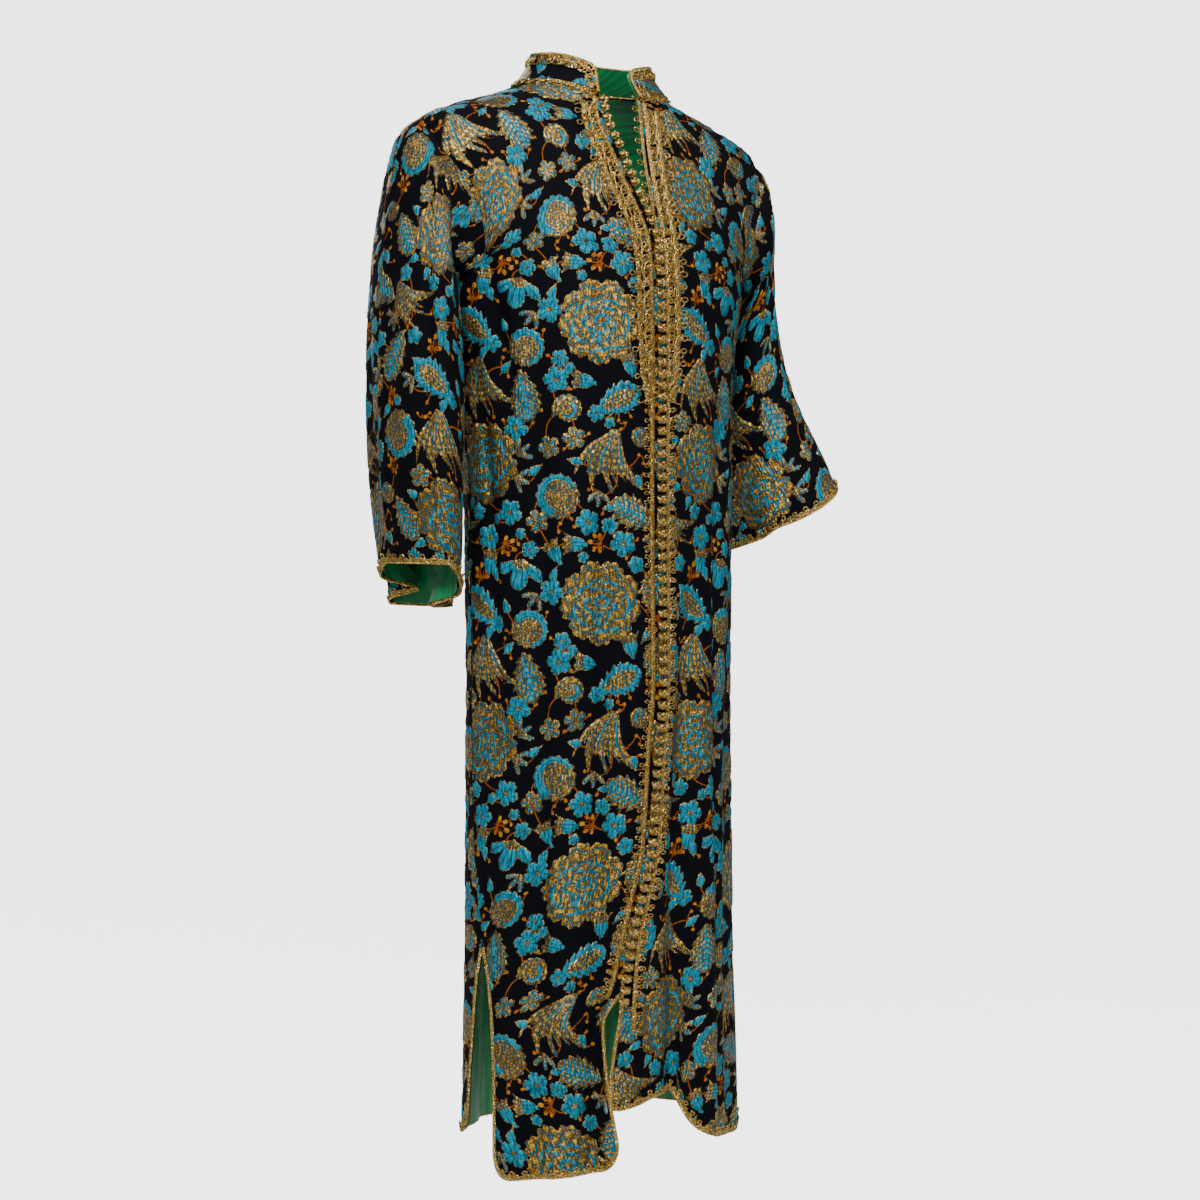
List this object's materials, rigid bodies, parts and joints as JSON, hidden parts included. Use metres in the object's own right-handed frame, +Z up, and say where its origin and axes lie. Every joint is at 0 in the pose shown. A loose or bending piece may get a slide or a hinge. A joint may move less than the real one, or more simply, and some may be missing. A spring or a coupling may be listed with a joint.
{
  "type": "moroccan kaftan",
  "caption": "Long front-opening kaftan in worn hollow form, with stand collar, three-quarter sleeves, knot-button front, braid trim and side slits",
  "frame": {"origin": "centre of the neck base, level with the neck end of the shoulder seams, where the garment hangs on a wearer's shoulders", "axes": "+Z up along the garment's length, -Y the front with the button row, +X the wearer's left"},
  "size_m": [0.6014, 0.2735, 1.3356],
  "materials": {
    "brocade": "puckered metallic brocade, near-black ground with turquoise and gold flowers",
    "lining_satin": "smooth emerald green satin",
    "gold_braid": "twisted metallic gold cord worked in loops",
    "knot_cord": "knotted metallic gold cord"
  },
  "bodies": {
    "root": {"back": "brocade", "chest_braid_left": "gold_braid", "chest_braid_right": "gold_braid", "collar": "brocade", "collar_braid": "gold_braid", "collar_facing": "lining_satin", "cuff_braid_left": "gold_braid", "cuff_braid_right": "gold_braid", "front_buttons": "knot_cord", "front_left": "brocade", "front_right": "brocade", "hem_braid_back": "gold_braid", "hem_braid_left": "gold_braid", "hem_braid_right": "gold_braid", "lining_back": "lining_satin", "lining_front_left": "lining_satin", "lining_front_right": "lining_satin", "lining_sleeve_left": "lining_satin", "lining_sleeve_right": "lining_satin", "neck_buttons": "knot_cord", "neck_loops": "gold_braid", "neck_seam_braid": "gold_braid", "placket_braid_left": "gold_braid", "placket_braid_right": "gold_braid", "sleeve_left": "brocade", "sleeve_right": "brocade"}
  },
  "joints": []
}
